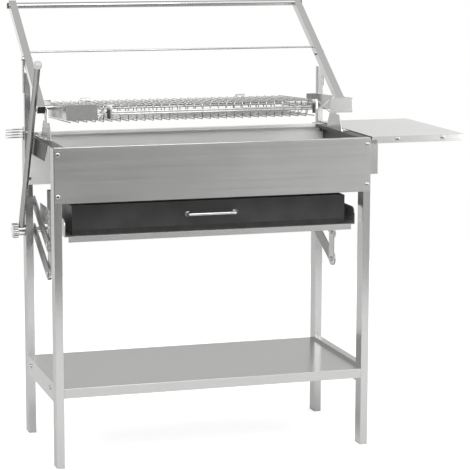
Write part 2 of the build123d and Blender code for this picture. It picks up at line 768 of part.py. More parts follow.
with BuildPart() as lever_hub:
    hub_reach = (-lever_x - lever_radius, -lever_x + lever_radius)
    x_rod(hub_radius, hub_reach, shaft_y, shaft_z)
    with BuildSketch(Plane(origin=lever_foot, x_dir=(1, 0, 0), z_dir=lever_axis)):
        Circle(lever_radius - tube_wall - slip)
    extrude(amount=hub_radius + plug_depth)
    x_rod(shaft_radius + slip, hub_reach, shaft_y, shaft_z, mode=Mode.SUBTRACT)
write(lever_hub.part, "lever_hub")

with BuildPart() as lever_tube:
    tube_start = lever_foot + lever_axis * (hub_radius + gap)
    with BuildSketch(Plane(origin=tube_start, x_dir=(1, 0, 0), z_dir=lever_axis)):
        Circle(lever_radius)
        Circle(lever_radius - tube_wall, mode=Mode.SUBTRACT)
    extrude(amount=lever_tube_length - hub_radius - gap)
write(lever_tube.part, "lever_tube")

with BuildPart() as lever_cap:
    cap_start = lever_foot + lever_axis * (lever_length - lever_cap_height)
    with BuildSketch(Plane(origin=cap_start, x_dir=(1, 0, 0), z_dir=lever_axis)):
        Circle(lever_cap_radius)
    extrude(amount=lever_cap_height)
    cap_end = lever_foot + lever_axis * lever_length
    dome_edge = lever_cap.edges().filter_by(GeomType.CIRCLE).sort_by_distance(cap_end)[0]
    fillet(dome_edge, lever_cap_radius * 0.6)
    with BuildSketch(Plane(origin=cap_start, x_dir=(1, 0, 0), z_dir=lever_axis)):
        Circle(lever_radius + slip)
    extrude(amount=lever_radius, mode=Mode.SUBTRACT)
write(lever_cap.part, "lever_cap")

knob_start = lever_x + lever_radius + gap

with BuildPart() as star_knob:
    with BuildSketch(Plane(origin=(-knob_start, shaft_y, shaft_z), x_dir=(0, 1, 0), z_dir=(-1, 0, 0))):
        lobe_radius = knob_radius * 0.32
        Circle(knob_radius * 0.74)
        with PolarLocations(knob_radius - lobe_radius, knob_lobes):
            Circle(lobe_radius)
    extrude(amount=knob_thick)
    fillet(star_knob.faces().sort_by(Axis.X)[0].edges(), 2)
    x_rod(shaft_radius + slip, (-knob_start, -shaft_left - gap), shaft_y, shaft_z, mode=Mode.SUBTRACT)
write(star_knob.part, "star_knob")

# ---------- lift tray, hangers and pins ----------
with BuildPart() as lift_tray:
    floor_low = tray_floor_top - sheet
    fill((-tray_half, tray_half), (tray_front, tray_rear), (floor_low, tray_floor_top))
    lip_x = (-tray_lip_half, tray_lip_half)
    lip_z = (tray_floor_top - tray_lip, tray_floor_top)
    fill(lip_x, (tray_front, tray_front + sheet), lip_z)
    fill(lip_x, (tray_rear - sheet, tray_rear), lip_z)
    for wall_side in (-1, 1):
        wall_start = tray_half - sheet if wall_side > 0 else -tray_half
        with BuildSketch(Plane(origin=(wall_start, 0, 0), x_dir=(0, 1, 0), z_dir=(1, 0, 0))):
            with BuildLine():
                wall_top = floor_low + tray_wall
                Line((tray_front, floor_low), (tray_rear, floor_low))
                Line((tray_rear, floor_low), (tray_rear, wall_top))
                Line((tray_rear, wall_top), (tray_front + tray_corner, wall_top))
                corner_centre = (tray_front + tray_corner, wall_top - tray_corner)
                CenterArc(corner_centre, tray_corner, 90, 90)
                Line((tray_front, wall_top - tray_corner), (tray_front, floor_low))
            make_face()
        extrude(amount=sheet)
    tray_bolt_high = floor_low + tray_wall - 10
    for bolt_z in (tray_bolt_high, tray_bolt_high - hanger_bolt_gap):
        x_rod(screw_radius + slip, (-half_width, half_width), pin_y, bolt_z, mode=Mode.SUBTRACT)
write(lift_tray.part, "lift_tray")


def make_hanger(side):
    x0 = tray_half if side > 0 else -hanger_outer
    top = floor_low + tray_wall
    with BuildPart() as hanger:
        with BuildSketch(Plane(origin=(x0, pin_y, pin_z), x_dir=(0, 1, 0), z_dir=(1, 0, 0))):
            with Locations((0, (top - pin_z) / 2)):
                Rectangle(arm_width, top - pin_z)
            Circle(arm_width / 2)
            for rise in (0, arm_spacing):
                with Locations((0, rise)):
                    Circle(arm_pin_radius + slip, mode=Mode.SUBTRACT)
            for bolt_z in (tray_bolt_high, tray_bolt_high - hanger_bolt_gap):
                with Locations((0, bolt_z - pin_z)):
                    Circle(screw_radius + slip, mode=Mode.SUBTRACT)
        extrude(amount=hanger_thick)
    write(hanger.part, "hanger_" + side_name(side))


make_hanger(-1)
make_hanger(1)

with BuildPart() as hanger_pins:
    for pin_side in (-1, 1):
        for pin_rise in (0, arm_spacing):
            pin_x = (pin_side * (tray_half - 3), pin_side * (arm_outer + gap + 2))
            x_rod(arm_pin_radius, pin_x, pin_y, pin_z + pin_rise)
            outer_x = (pin_side * (arm_outer + gap), pin_side * (arm_outer + gap + 2))
            x_rod(arm_pin_radius * 1.6, outer_x, pin_y, pin_z + pin_rise)
            inner_head = (pin_side * (tray_half - 3), pin_side * tray_half)
            x_rod(arm_pin_radius * 1.6, inner_head, pin_y, pin_z + pin_rise)
write(hanger_pins.part, "hanger_pins")

with BuildPart() as hanger_bolts:
    for bolt_side in (-1, 1):
        for bolt_z in (tray_bolt_high, tray_bolt_high - hanger_bolt_gap):
            shank_x = (bolt_side * (tray_half - sheet - 4), bolt_side * hanger_outer)
            x_rod(screw_radius, shank_x, pin_y, bolt_z)
            head_x = (bolt_side * hanger_outer, bolt_side * (hanger_outer + 3))
            x_rod(screw_head_radius - 1, head_x, pin_y, bolt_z)
            nut_x = (bolt_side * (tray_half - sheet - 4), bolt_side * (tray_half - sheet))
            x_hex(screw_head_radius - 1, nut_x, pin_y, bolt_z)
write(hanger_bolts.part, "hanger_bolts")

# ---------- coal pan ----------
pull_z = pan_top - pull_drop
pan_face_y = pan_front_y - sheet

with BuildPart() as coal_pan:
    pan_y = (pan_front_y, pan_front_y + pan_depth)
    pan_wall_z = (pan_floor + pan_wall + seam, pan_top)
    fill((-pan_half, pan_half), pan_y, (pan_floor, pan_floor + pan_wall))
    fill((-pan_half, pan_half), (pan_y[0], pan_y[0] + pan_wall), pan_wall_z)
    fill((-pan_half, pan_half), (pan_y[1] - pan_wall, pan_y[1]), pan_wall_z)
    for end in (-1, 1):
        end_y = (pan_y[0] + pan_wall + seam, pan_y[1] - pan_wall - seam)
        fill((end * (pan_half - pan_wall), end * pan_half), end_y, pan_wall_z)
    for pull_x in (-pull_spacing / 2, pull_spacing / 2):
        pull_hole_y = (pan_front_y - 1, pan_front_y + pan_wall + 1)
        y_rod(screw_radius - 1 + slip, pull_x, pull_hole_y, pull_z, mode=Mode.SUBTRACT)
write(coal_pan.part, "coal_pan")

with BuildPart() as pan_face:
    face_z = (pan_top - pan_face_height, pan_top)
    fill((-pan_half, pan_half), (pan_face_y, pan_front_y), face_z)
    for pull_x in (-pull_spacing / 2, pull_spacing / 2):
        pull_hole_y = (pan_face_y - 1, pan_front_y + 1)
        y_rod(screw_radius - 1 + slip, pull_x, pull_hole_y, pull_z, mode=Mode.SUBTRACT)
write(pan_face.part, "pan_face")

with BuildPart() as pan_handle:
    bar_y = pan_face_y - pull_reach + pull_radius
    foot_end = pan_face_y - gap / 10
    bend = pull_radius * 2
    with BuildLine() as pull_path:
        FilletPolyline(
            (-pull_spacing / 2, foot_end, pull_z),
            (-pull_spacing / 2, bar_y, pull_z),
            (pull_spacing / 2, bar_y, pull_z),
            (pull_spacing / 2, foot_end, pull_z),
            radius=bend,
        )
    with BuildSketch(Plane(origin=(-pull_spacing / 2, foot_end, pull_z), z_dir=(0, -1, 0))):
        Circle(pull_radius)
    sweep(path=pull_path.line)
    for pull_x in (-pull_spacing / 2, pull_spacing / 2):
        y_rod(pull_foot_radius, pull_x, (foot_end - 3, foot_end), pull_z)
        y_rod(screw_radius - 1 + slip, pull_x, (foot_end - 8, foot_end), pull_z, mode=Mode.SUBTRACT)
write(pan_handle.part, "pan_handle")

with BuildPart() as handle_screws:
    for pull_x in (-pull_spacing / 2, pull_spacing / 2):
        inner_y = pan_front_y + pan_wall
        y_rod(screw_radius - 1, pull_x, (foot_end - 7, inner_y), pull_z)
        y_rod(screw_radius + 1.5, pull_x, (inner_y, inner_y + 2.5), pull_z)
write(handle_screws.part, "handle_screws")

# ---------- folding side shelf ----------
side_shelf_x = (half_width + side_shelf_gap, half_width + side_shelf_gap + side_shelf_length)
side_shelf_low = shelf_top - side_shelf_thick
side_screw_x = (side_shelf_x[0] + 70, side_shelf_x[0] + 197)
side_screw_z = shelf_top - side_shelf_thick / 2 + 1

with BuildPart() as side_shelf:
    fill(side_shelf_x, (front_y, rear_y), (side_shelf_low, shelf_top))
    inside_x = (side_shelf_x[0] - 1, side_shelf_x[1] - sheet)
    fill(inside_x, (front_y + sheet, rear_y - sheet), (side_shelf_low - 1, shelf_top - sheet), mode=Mode.SUBTRACT)
    y_rod(hinge_radius + slip, shelf_hinge_x, (front_y - 1, rear_y + 1), shelf_hinge_z, mode=Mode.SUBTRACT)
    for screw_x in side_screw_x:
        y_rod(screw_radius + slip, screw_x, (front_y - 1, rear_y + 1), side_screw_z, mode=Mode.SUBTRACT)
write(side_shelf.part, "side_shelf")

with BuildPart() as side_shelf_screws:
    for end in (-1, 1):
        for screw_x in side_screw_x:
            y_rod(screw_radius, screw_x, (end * (rear_y - sheet), end * rear_y), side_screw_z)
            y_rod(screw_head_radius, screw_x, (end * rear_y, end * (rear_y + screw_head_height)), side_screw_z)
write(side_shelf_screws.part, "side_shelf_screws")

with BuildPart() as shelf_hinge_rod:
    y_rod(hinge_radius, shelf_hinge_x, (front_y - gap, rear_y + gap), shelf_hinge_z)
    for end in (-1, 1):
        end_y = (end * (rear_y + gap), end * (rear_y + gap + 3))
        y_rod(hinge_radius + 2, shelf_hinge_x, end_y, shelf_hinge_z)
write(shelf_hinge_rod.part, "shelf_hinge_rod")


def make_bracket(end):
    """An angle bolted to a right leg, with the shelf's hinge rod through its top."""
    face = rear_y - sheet - gap
    plate_y = (end * (face - bracket_thick), end * face)
    round_radius = hinge_drop - sheet - 1
    right = shelf_hinge_x + round_radius
    low = shelf_hinge_z - bracket_height + round_radius
    with BuildPart() as bracket:
        fill((half_width, right), plate_y, (low, shelf_hinge_z))
        y_rod(round_radius, shelf_hinge_x, plate_y, shelf_hinge_z)
        flange_y = (end * (face - bracket_flange), end * face)
        fill((half_width, half_width + bracket_thick), flange_y, (low, shelf_hinge_z))
        y_rod(hinge_radius + slip, shelf_hinge_x, (-half_width, half_width), shelf_hinge_z, mode=Mode.SUBTRACT)
    write(bracket.part, "shelf_bracket_" + ("front" if end < 0 else "rear"))


make_bracket(-1)
make_bracket(1)
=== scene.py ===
# %% [markdown]
# # Charcoal spit roaster: the visual model
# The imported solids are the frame. Each step below dresses one kind of piece: brushed tubes and sheets, screws,
# woven wire, enamel and plastic. Everything is in metres, +Z up, with the front towards -Y.

# %% Load the frame
import json
import math
import bmesh
import bpy
from mathutils import Matrix, Vector


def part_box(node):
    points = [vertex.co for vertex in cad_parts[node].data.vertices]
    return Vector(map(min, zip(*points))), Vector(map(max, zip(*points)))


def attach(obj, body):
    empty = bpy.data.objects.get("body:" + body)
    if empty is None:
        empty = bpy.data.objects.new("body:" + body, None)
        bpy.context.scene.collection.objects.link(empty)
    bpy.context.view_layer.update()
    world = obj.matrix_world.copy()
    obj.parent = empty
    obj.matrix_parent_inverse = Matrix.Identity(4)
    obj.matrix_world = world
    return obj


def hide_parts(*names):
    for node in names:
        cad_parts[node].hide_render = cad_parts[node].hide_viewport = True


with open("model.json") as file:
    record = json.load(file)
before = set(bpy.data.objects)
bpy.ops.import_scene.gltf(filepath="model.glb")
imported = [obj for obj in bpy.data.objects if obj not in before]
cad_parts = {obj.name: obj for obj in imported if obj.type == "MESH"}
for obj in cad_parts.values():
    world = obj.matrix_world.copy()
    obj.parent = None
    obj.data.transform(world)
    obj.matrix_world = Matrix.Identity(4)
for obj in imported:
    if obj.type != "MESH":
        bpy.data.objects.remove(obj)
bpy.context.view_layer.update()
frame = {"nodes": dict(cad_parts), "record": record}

MM = 0.001
record = frame["record"]
body_of = {name: body for body, names in record["behaviour"]["bodies"].items() for name in names}
slot_of = {part["node"]: part["material_slot"] for part in record["subparts"]}


# %% [markdown]
# ## Node trees
# Materials and Geometry Nodes could be drawn by hand in the node editor, but then a script could not make them again.
# One small helper adds a node, sets its inputs and links them, so that each tree reads as a list of its nodes.

# %% Helper for node trees
def node(tree, kind, inputs=(), **settings):
    """Add a node. Each input is linked if its value is another node's output, and set if it is a plain value."""
    made = tree.nodes.new(kind)
    for name, value in settings.items():
        setattr(made, name, value)
    for socket, value in dict(inputs).items():
        if isinstance(value, bpy.types.NodeSocket):
            tree.links.new(value, made.inputs[socket])
        else:
            made.inputs[socket].default_value = value
    return made


def calculate(tree, operation, *values):
    """A math node's result."""
    return node(tree, "ShaderNodeMath", dict(enumerate(values)), operation=operation).outputs[0]


finishes = []


def new_material(name):
    """An empty material with its tree, its shader and its object coordinates."""
    material = bpy.data.materials.new(name)
    material.use_nodes = True
    finishes.append(material.name)
    tree = material.node_tree
    place = node(tree, "ShaderNodeTexCoord").outputs["Object"]
    return material, tree, tree.nodes["Principled BSDF"], place


print("helpers", [helper.__name__ for helper in (node, calculate, new_material)])


# %% [markdown]
# ## Brushed stainless steel
# A belt sander leaves fine parallel scratches along a tube or a sheet. They are too fine to model, and an image of
# them would have to be laid out on every piece. Noise that is stretched along the grain needs neither: it shifts the
# colour, the roughness and a small bump, and the highlight spreads across the grain.

# %% How steel is brushed
FINE = 650
COARSE = 5
BANDS_WIDER = 9
STRETCH = 0.8
STREAK = 0.02
ROUGHNESS_DRIFT = 0.02
STREAK_RANGE = {"From Min": 0.35, "From Max": 0.65}
# A slight lean off the grain, because the tangent would vanish on faces that are square to it.
OFF_SQUARE = Vector((0.021, 0.034, 0.027))


def brushed_steel(name, tone, grain, roughness, lean=0.0, metallic=0.9, edge=1.0):
    """Brushed steel. Grain is the axis of the scratches, lean turns it about X, and edge tints slanting views."""
    material, tree, shader, place = new_material(name)
    along = Vector([float(axis == grain) for axis in "XYZ"]) + OFF_SQUARE
    along.rotate(Matrix.Rotation(lean, 3, "X"))
    facing = node(tree, "ShaderNodeNewGeometry").outputs["Normal"]
    across = node(tree, "ShaderNodeVectorMath", {0: facing, 1: along}, operation="CROSS_PRODUCT")
    tree.links.new(across.outputs[0], shader.inputs["Tangent"])
    shader.inputs["Anisotropic"].default_value = STRETCH
    turned = node(tree, "ShaderNodeVectorRotate", {"Vector": place, "Angle": -lean}, rotation_type="X_AXIS")
    scale = [COARSE if axis == grain else FINE for axis in "XYZ"]
    fine = node(tree, "ShaderNodeMapping", {"Vector": turned.outputs[0], "Scale": scale})
    scratches = node(tree, "ShaderNodeTexNoise", {"Vector": fine.outputs[0], "Scale": 1.0, "Detail": 3.0})
    wider = [size / BANDS_WIDER for size in scale]
    broad = node(tree, "ShaderNodeMapping", {"Vector": turned.outputs[0], "Scale": wider})
    bands = node(tree, "ShaderNodeTexNoise", {"Vector": broad.outputs[0], "Scale": 1.0, "Detail": 2.0})
    cloud = node(tree, "ShaderNodeTexNoise", {"Vector": place, "Scale": 7.0, "Detail": 2.0})
    mixed = calculate(tree, "ADD", scratches.outputs["Fac"], bands.outputs["Fac"])
    mixed = calculate(tree, "ADD", mixed, cloud.outputs["Fac"])
    mixed = calculate(tree, "MULTIPLY", mixed, 1 / 3)
    dark = [channel * (1 - STREAK) for channel in tone] + [1]
    light = [min(channel * (1 + STREAK), 1) for channel in tone] + [1]
    shade = node(tree, "ShaderNodeMapRange", {"Value": mixed, **STREAK_RANGE})
    colour = node(tree, "ShaderNodeMix", {0: shade.outputs[0], 6: dark, 7: light}, data_type="RGBA")
    spread = node(tree, "ShaderNodeMapRange", {"Value": mixed, **STREAK_RANGE, "To Min": roughness - ROUGHNESS_DRIFT,
                                               "To Max": roughness + ROUGHNESS_DRIFT})
    bump = node(tree, "ShaderNodeBump", {"Height": scratches.outputs["Fac"], "Strength": 0.12, "Distance": 0.0002})
    tree.links.new(colour.outputs[2], shader.inputs["Base Color"])
    tree.links.new(spread.outputs[0], shader.inputs["Roughness"])
    tree.links.new(bump.outputs[0], shader.inputs["Normal"])
    shader.inputs["Metallic"].default_value = metallic
    shader.inputs["Specular Tint"].default_value = (edge, edge, edge, 1)
    return material


print("scratches per metre", FINE, "across the grain,", COARSE, "along it")

# %% [markdown]
# ## One grade of steel in twelve tones
# The whole roaster is one grade of steel, but each tube and sheet was brushed along its own length and mirrors its
# own part of the room. One material with one grain could not follow the leaning frame bars, so there is a steel for
# each direction. The side panels, the arms, the lever, the shelf, the trough, the frame bars and the handle rod also
# have tones of their own, and these tones are painted light and shade: the simple room below does not hold all that a
# real one does, and the tone stands in for what those sheets would mirror and for how the light falls on them.

# %% The brushed steels
FRAME_LEAN = math.radians(33.6)
STEEL = (0.66, 0.66, 0.65)
TUBE = (0.64, 0.64, 0.635)
# Painted light and shade: the next five tones are darker or lighter copies of the same steel.
SHADED = (0.42, 0.42, 0.415)
ROD_SHADE_PAINTED_TONE = (0.54, 0.54, 0.535)
LIGHT_PAINTED_TONE = (0.86, 0.86, 0.85)
TOP_LIGHT_PAINTED_TONE = (0.93, 0.93, 0.92)
SHADE_PAINTED_TONE = (0.26, 0.26, 0.257)
sheet_x = brushed_steel("sheet_x", STEEL, "X", 0.22)
sheet_y = brushed_steel("sheet_y", STEEL, "Y", 0.24)
sheet_z = brushed_steel("sheet_z", STEEL, "Z", 0.22)
# Painted shade: the handle rod's steel is a darker copy of the tube steel.
tube_x = brushed_steel("tube_x", ROD_SHADE_PAINTED_TONE, "X", 0.17)
tube_y = brushed_steel("tube_y", TUBE, "Y", 0.22)
tube_z = brushed_steel("tube_z", TUBE, "Z", 0.22)
# Painted light: the leaning frame bars are a lighter copy of the tube steel.
tube_lean_light_painted = brushed_steel("tube_lean_light_painted", LIGHT_PAINTED_TONE, "Y", 0.20, lean=FRAME_LEAN)
# Painted shade: the lever, the side panels and the arms are darker copies of the steel, and the side panels and arms
# also have their slanting reflections darkened.
lever_steel_shade_painted = brushed_steel("lever_steel_shade_painted", SHADED, "Y", 0.12, lean=FRAME_LEAN)
side_sheet_shade_painted = brushed_steel("side_sheet_shade_painted", SHADE_PAINTED_TONE, "Y", 0.30, edge=0.4)
arm_sheet_shade_painted = brushed_steel("arm_sheet_shade_painted", SHADED, "Y", 0.30, edge=0.7)
# Painted light: the side shelf is a lighter copy of the steel, and the trough's rear wall is a paler, duller one, as
# if lit from above.
shelf_sheet_light_painted = brushed_steel("shelf_sheet_light_painted", LIGHT_PAINTED_TONE, "X", 0.20)
trough_sheet_light_painted = brushed_steel("trough_sheet_light_painted", TOP_LIGHT_PAINTED_TONE, "X", 0.50, metallic=0.25)
print("brushed steels", len(finishes))


# %% [markdown]
# ## Polished steel, enamel and plastic
# Screws, rods and wires are bright steel with faint handling marks. The coal pan is enamelled: its colour pools and
# its gloss breaks up a little. The caps are moulded plastic with a fine grain. A plain colour would look like paint
# on all of them, so one recipe lets colour and gloss drift together, and only its numbers differ.

# %% Other finishes
DRIFT_RANGE = {"From Min": 0.3, "From Max": 0.7}
PORES = 900.0


def mottled(name, dark, light, scale, roughness, metallic=0.0, grain=0.0):
    """A finish whose colour and gloss drift between two values, with a bump grain if asked."""
    material, tree, shader, place = new_material(name)
    drift = node(tree, "ShaderNodeTexNoise", {"Vector": place, "Scale": scale, "Detail": 4.0})
    shade = node(tree, "ShaderNodeMapRange", {"Value": drift.outputs["Fac"], **DRIFT_RANGE})
    colour = node(tree, "ShaderNodeMix", {0: shade.outputs[0], 6: (*dark, 1), 7: (*light, 1)}, data_type="RGBA")
    gloss = node(tree, "ShaderNodeMapRange", {"Value": drift.outputs["Fac"], **DRIFT_RANGE,
                                              "To Min": roughness[0], "To Max": roughness[1]})
    pores = node(tree, "ShaderNodeTexNoise", {"Vector": place, "Scale": PORES, "Detail": 2.0})
    bump = node(tree, "ShaderNodeBump", {"Height": pores.outputs["Fac"], "Strength": grain, "Distance": 0.0003})
    tree.links.new(colour.outputs[2], shader.inputs["Base Color"])
    tree.links.new(gloss.outputs[0], shader.inputs["Roughness"])
    tree.links.new(bump.outputs[0], shader.inputs["Normal"])
    shader.inputs["Metallic"].default_value = metallic
    return material


polished = mottled("polished_steel", (0.52, 0.52, 0.515), (0.66, 0.66, 0.65), 60, (0.06, 0.14), metallic=1.0)
wire_steel = mottled("wire_steel", (0.42, 0.42, 0.415), (0.62, 0.62, 0.61), 90, (0.06, 0.14), metallic=1.0)
black_enamel = mottled("black_enamel", (0.012, 0.012, 0.012), (0.024, 0.023, 0.022), 25, (0.30, 0.42), grain=0.15)
# Painted light: the pan's front face is a lighter copy of the black enamel, where the lamps fall on it.
front_enamel_light_painted = mottled("front_enamel_light_painted", (0.020, 0.020, 0.021), (0.032, 0.032, 0.033), 14, (0.34, 0.46), grain=0.10)
black_plastic = mottled("black_plastic", (0.012, 0.012, 0.012), (0.022, 0.022, 0.022), 120, (0.40, 0.50), grain=0.25)
pale_plastic = mottled("pale_plastic", (0.55, 0.55, 0.53), (0.64, 0.64, 0.62), 80, (0.38, 0.48), grain=0.20)
bronze = mottled("bronze", (0.42, 0.31, 0.17), (0.58, 0.45, 0.27), 200, (0.30, 0.42), metallic=1.0, grain=0.10)
print("finishes in all", len(finishes))

# %% [markdown]
# ## Finishes of the CAD pieces
# Each solid takes the finish of its own make and grain: tubes along their length, sheets along their long side. The
# nodes could be given theirs one by one, but a table by finish shows at a glance which pieces are made alike.

# %% Finishes by node
def both_sides(*kinds):
    """The names of the left and the right piece of each kind."""
    return [f"{kind}_{side}" for kind in kinds for side in ("left", "right")]


legs = both_sides("leg_front", "leg_rear")
finish_of = {
    sheet_x: ["bottom_shelf", "front_panel", "lift_tray"],
    shelf_sheet_light_painted: ["side_shelf"],
    trough_sheet_light_painted: ["rear_panel"],
    side_sheet_shade_painted: both_sides("side_panel"),
    arm_sheet_shade_painted: both_sides("lower_arm", "upper_arm"),
    sheet_y: both_sides("carrier"),
    sheet_z: both_sides("cradle", "hinge_plate", "hanger") + ["shelf_bracket_front", "shelf_bracket_rear"],
    tube_x: ["frame_handle"],
    tube_y: both_sides("shelf_rail"),
    tube_z: legs + both_sides("rear_post"),
    tube_lean_light_painted: both_sides("frame_bar"),
    lever_steel_shade_painted: ["lever_tube"],
    polished: [name for name, slot in slot_of.items() if slot == "bright"],
    wire_steel: [name for name, slot in slot_of.items() if slot == "wire"],
    black_enamel: ["coal_pan"],
    front_enamel_light_painted: ["pan_face"],
    black_plastic: ["handle_plugs"],
    pale_plastic: ["lever_cap", "foot_caps"],
    bronze: ["shaft_bushes"],
}
material_of = {name: material for material, names in finish_of.items() for name in names}
for name, obj in frame["nodes"].items():
    for place in obj.material_slots:
        place.material = material_of[name]
print("nodes with a finish", len(material_of), "of", len(frame["nodes"]))


# %% [markdown]
# ## Rounded edges
# Tube corners come from a forming roll and sheet edges from a press brake, so none is sharp. A bevel on the solids
# themselves would round every small hole too. Each of these nodes is copied instead, its triangles are merged into
# flat faces, and only its long edges are bevelled.

# %% Copies of nodes
SAME_PLACE = 0.00001
FLAT = math.radians(1)


def to_mesh(obj):
    """The evaluated mesh of an object, as plain data."""
    return bpy.data.meshes.new_from_object(obj.evaluated_get(bpy.context.evaluated_depsgraph_get()))


def settle(obj, names):
    """A finished piece rides on the body of the nodes it stands for, which are hidden."""
    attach(obj, body_of[names[0]])
    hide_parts(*names)


def merged_copy(name):
    """A node's mesh with its doubles merged and its flat faces whole."""
    shape = bmesh.new()
    shape.from_mesh(frame["nodes"][name].data)
    bmesh.ops.remove_doubles(shape, verts=shape.verts, dist=SAME_PLACE)
    bmesh.ops.dissolve_limit(shape, angle_limit=FLAT, verts=shape.verts, edges=shape.edges)
    return shape


leg = merged_copy(legs[0])
print("faces of one leg", len(leg.faces))
leg.free()


# %% Rounded tubes and sheets
LONG_EDGE = 12 * MM
CORNER = math.radians(35)
SHARP = math.radians(40)


def soften(name, radius):
    """Stand in for a node with its long edges rounded."""
    shape = merged_copy(name)
    weights = shape.edges.layers.float.new("bevel_weight_edge")
    for edge in shape.edges:
        if edge.calc_length() > LONG_EDGE and edge.is_manifold and edge.calc_face_angle(0) > CORNER:
            edge[weights] = 1.0
    mesh = bpy.data.meshes.new(name + "_soft")
    shape.to_mesh(mesh)
    shape.free()
    piece = bpy.data.objects.new(name + "_soft", mesh)
    bpy.context.scene.collection.objects.link(piece)
    bevel = piece.modifiers.new("edges", "BEVEL")
    bevel.width = radius
    bevel.segments = 3
    bevel.limit_method = "WEIGHT"
    normals = piece.modifiers.new("normals", "WEIGHTED_NORMAL")
    normals.keep_sharp = True
    mesh.shade_smooth()
    mesh.set_sharp_from_angle(angle=SHARP)
    rounded = to_mesh(piece)
    piece.modifiers.clear()
    piece.data = rounded
    rounded.materials.clear()
    rounded.materials.append(material_of[name])
    settle(piece, [name])
    return len(rounded.polygons)


named_by_radius = {
    2.0: legs + both_sides("shelf_rail"),
    1.4: both_sides("frame_bar", "rear_post"),
    0.9: ["front_panel", "rear_panel", "bottom_shelf", "side_shelf", "lift_tray"],
    0.6: both_sides("side_panel", "carrier", "cradle", "lower_arm", "upper_arm", "hanger")
    + ["shelf_bracket_front", "shelf_bracket_rear"] + both_sides("hinge_plate") + ["coal_pan"],
    0.4: ["pan_face"],
}
faces = sum(soften(name, radius * MM) for radius, names in named_by_radius.items() for name in names)
print("softened faces", faces)


# %% [markdown]
# ## Socket screws
# The stand is held by pan-head screws with a hexagon socket. Each could be modelled in its place, but they are all
# alike. One head is turned on a lathe here, and Geometry Nodes sets a head and a shank on each place where the solids
# have a screw.

# %% The head of one screw
ROUND_SIDES = 24


def lathe(name, profile, steps):
    """A closed turned shape: profile holds (radius, height) pairs, from the axis at the top to the axis below."""
    shape = bmesh.new()
    rings = []
    for radius, height in profile:
        turns = [math.tau * k / steps for k in range(steps)] if radius else [0]
        rings.append([shape.verts.new((radius * math.cos(a), radius * math.sin(a), height)) for a in turns])
    for ring, following in zip(rings, rings[1:]):
        for k in range(steps):
            corners = [ring[k % len(ring)], ring[(k + 1) % len(ring)],
                       following[(k + 1) % len(following)], following[k % len(following)]]
            shape.faces.new(list(dict.fromkeys(corners)))
    bmesh.ops.recalc_face_normals(shape, faces=shape.faces)
    mesh = bpy.data.meshes.new(name)
    shape.to_mesh(mesh)
    shape.free()
    mesh.shade_smooth()
    mesh.set_sharp_from_angle(angle=math.radians(35))
    obj = bpy.data.objects.new(name, mesh)
    bpy.context.scene.collection.objects.link(obj)
    return obj


socket_head = lathe("socket_head", [(0, -0.34), (0.40, -0.34), (0.44, -0.02), (0.55, 0.0), (0.80, -0.08),
                                    (0.95, -0.24), (1.0, -0.42), (1.0, -0.5), (0, -0.5)], ROUND_SIDES)
print("screw head faces", len(socket_head.data.polygons))

# %% [markdown]
# ## A tree that sets screws
# The tree takes one point for each screw, and reads from the point which way the screw faces and how big its head and
# its shank are. Setting each screw by a loop would work as well, but the tree keeps the size of a head in one place,
# and the same tree serves the panel's, the shelves' and the cradles' screws and the hangers' bolts.


# %% Parts that every tree needs
def named_group(name, inputs):
    """A Geometry Nodes tree with its input node, its output node and a dictionary of socket identifiers."""
    tree = bpy.data.node_groups.new(name, "GeometryNodeTree")
    tree.interface.new_socket("Geometry", in_out="INPUT", socket_type="NodeSocketGeometry")
    sockets = {label: tree.interface.new_socket(label, in_out="INPUT", socket_type=kind).identifier
               for label, kind in inputs.items()}
    tree.interface.new_socket("Geometry", in_out="OUTPUT", socket_type="NodeSocketGeometry")
    return tree, node(tree, "NodeGroupInput").outputs, sockets


def finish_group(tree, geometry, material):
    """Real mesh, in its material."""
    real = node(tree, "GeometryNodeRealizeInstances", {0: geometry})
    made = node(tree, "GeometryNodeSetMaterial", {"Geometry": real.outputs[0], "Material": material})
    node(tree, "NodeGroupOutput", {0: made.outputs[0]})


def attribute(tree, name, kind):
    """A named attribute of the geometry."""
    made = node(tree, "GeometryNodeInputNamedAttribute", {"Name": name}, data_type=kind)
    return made.outputs["Attribute"]


print("tree helpers", [helper.__name__ for helper in (named_group, finish_group, attribute)])

# %% The tree that sets the screws
screw_tree, given, screw_inputs = named_group("set_screws", {"Head": "NodeSocketObject",
                                                             "Material": "NodeSocketMaterial"})
facing = node(screw_tree, "FunctionNodeAlignRotationToVector",
              {"Vector": attribute(screw_tree, "facing", "FLOAT_VECTOR")}, axis="Z").outputs[0]
head = node(screw_tree, "GeometryNodeObjectInfo", {"Object": given["Head"]}).outputs["Geometry"]
heads = node(screw_tree, "GeometryNodeInstanceOnPoints", {
    "Points": given[0], "Instance": head, "Rotation": facing,
    "Scale": attribute(screw_tree, "head_scale", "FLOAT_VECTOR")})
rod = node(screw_tree, "GeometryNodeMeshCylinder", {"Vertices": 16, "Radius": 1.0, "Depth": 1.0})
rod = node(screw_tree, "GeometryNodeTransform", {"Geometry": rod.outputs[0], "Translation": (0, 0, -0.5)})
shanks = node(screw_tree, "GeometryNodeInstanceOnPoints", {
    "Points": given[0], "Instance": rod.outputs[0], "Rotation": facing,
    "Scale": attribute(screw_tree, "shank_scale", "FLOAT_VECTOR")})
both = node(screw_tree, "GeometryNodeJoinGeometry")
for part in (shanks, heads):
    screw_tree.links.new(part.outputs[0], both.inputs[0])
finish_group(screw_tree, both.outputs[0], given["Material"])
print("screw tree nodes", len(screw_tree.nodes))

# %% [markdown]
# ## Screws in the solids' places
# A node of screws holds several separate solids. Their places could be written down a second time, but then they
# could disagree with the solids. Each solid's box is measured instead, and gives its screw's place and size.


